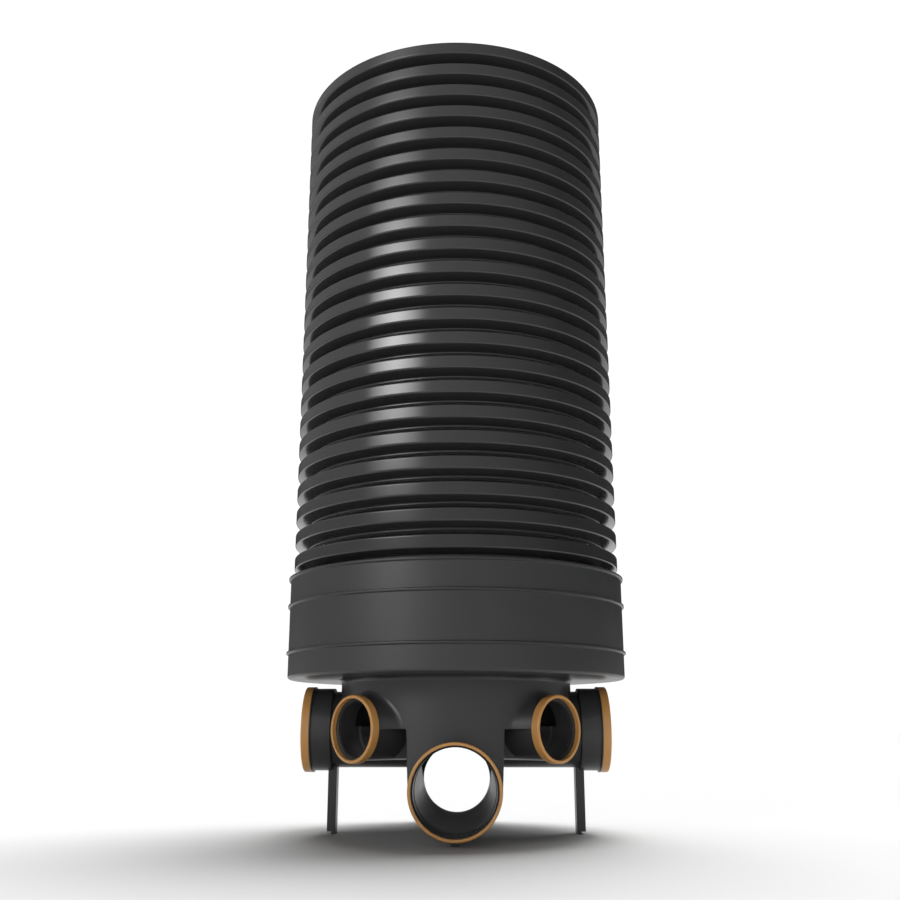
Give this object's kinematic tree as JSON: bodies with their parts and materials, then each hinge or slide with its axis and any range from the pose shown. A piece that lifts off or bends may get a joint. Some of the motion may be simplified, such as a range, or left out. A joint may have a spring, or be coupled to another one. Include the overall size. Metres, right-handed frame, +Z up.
{
  "type": "drain inspection chamber",
  "caption": "Corrugated plastic inspection chamber for drains: a tall riser in a round collar over a straight channel, with ringed push-fit sockets at the ends, sides and angles.",
  "frame": {"origin": "on the ground under the riser's axis", "axes": "+Z up the riser, -Y to the front end of the main run (inlet), +X to the right inlet"},
  "size_m": [0.5145, 0.5146, 1.162],
  "materials": {
    "riser_black": "satin black moulded plastic",
    "base_black": "satin dark grey moulded plastic",
    "cap_orange": "satin orange-brown plastic",
    "seal_rubber": "matt black rubber"
  },
  "bodies": {
    "root": {"riser_pipe": "riser_black", "base_body": "base_black", "riser_seal": "seal_rubber", "inlet_cap": "cap_orange", "inlet_seal": "seal_rubber", "outlet_cap": "cap_orange", "outlet_seal": "seal_rubber", "left_inlet_cap": "cap_orange", "left_inlet_seal": "seal_rubber", "right_inlet_cap": "cap_orange", "right_inlet_seal": "seal_rubber", "left_branch_cap": "cap_orange", "left_branch_seal": "seal_rubber", "right_branch_cap": "cap_orange", "right_branch_seal": "seal_rubber"}
  },
  "joints": []
}
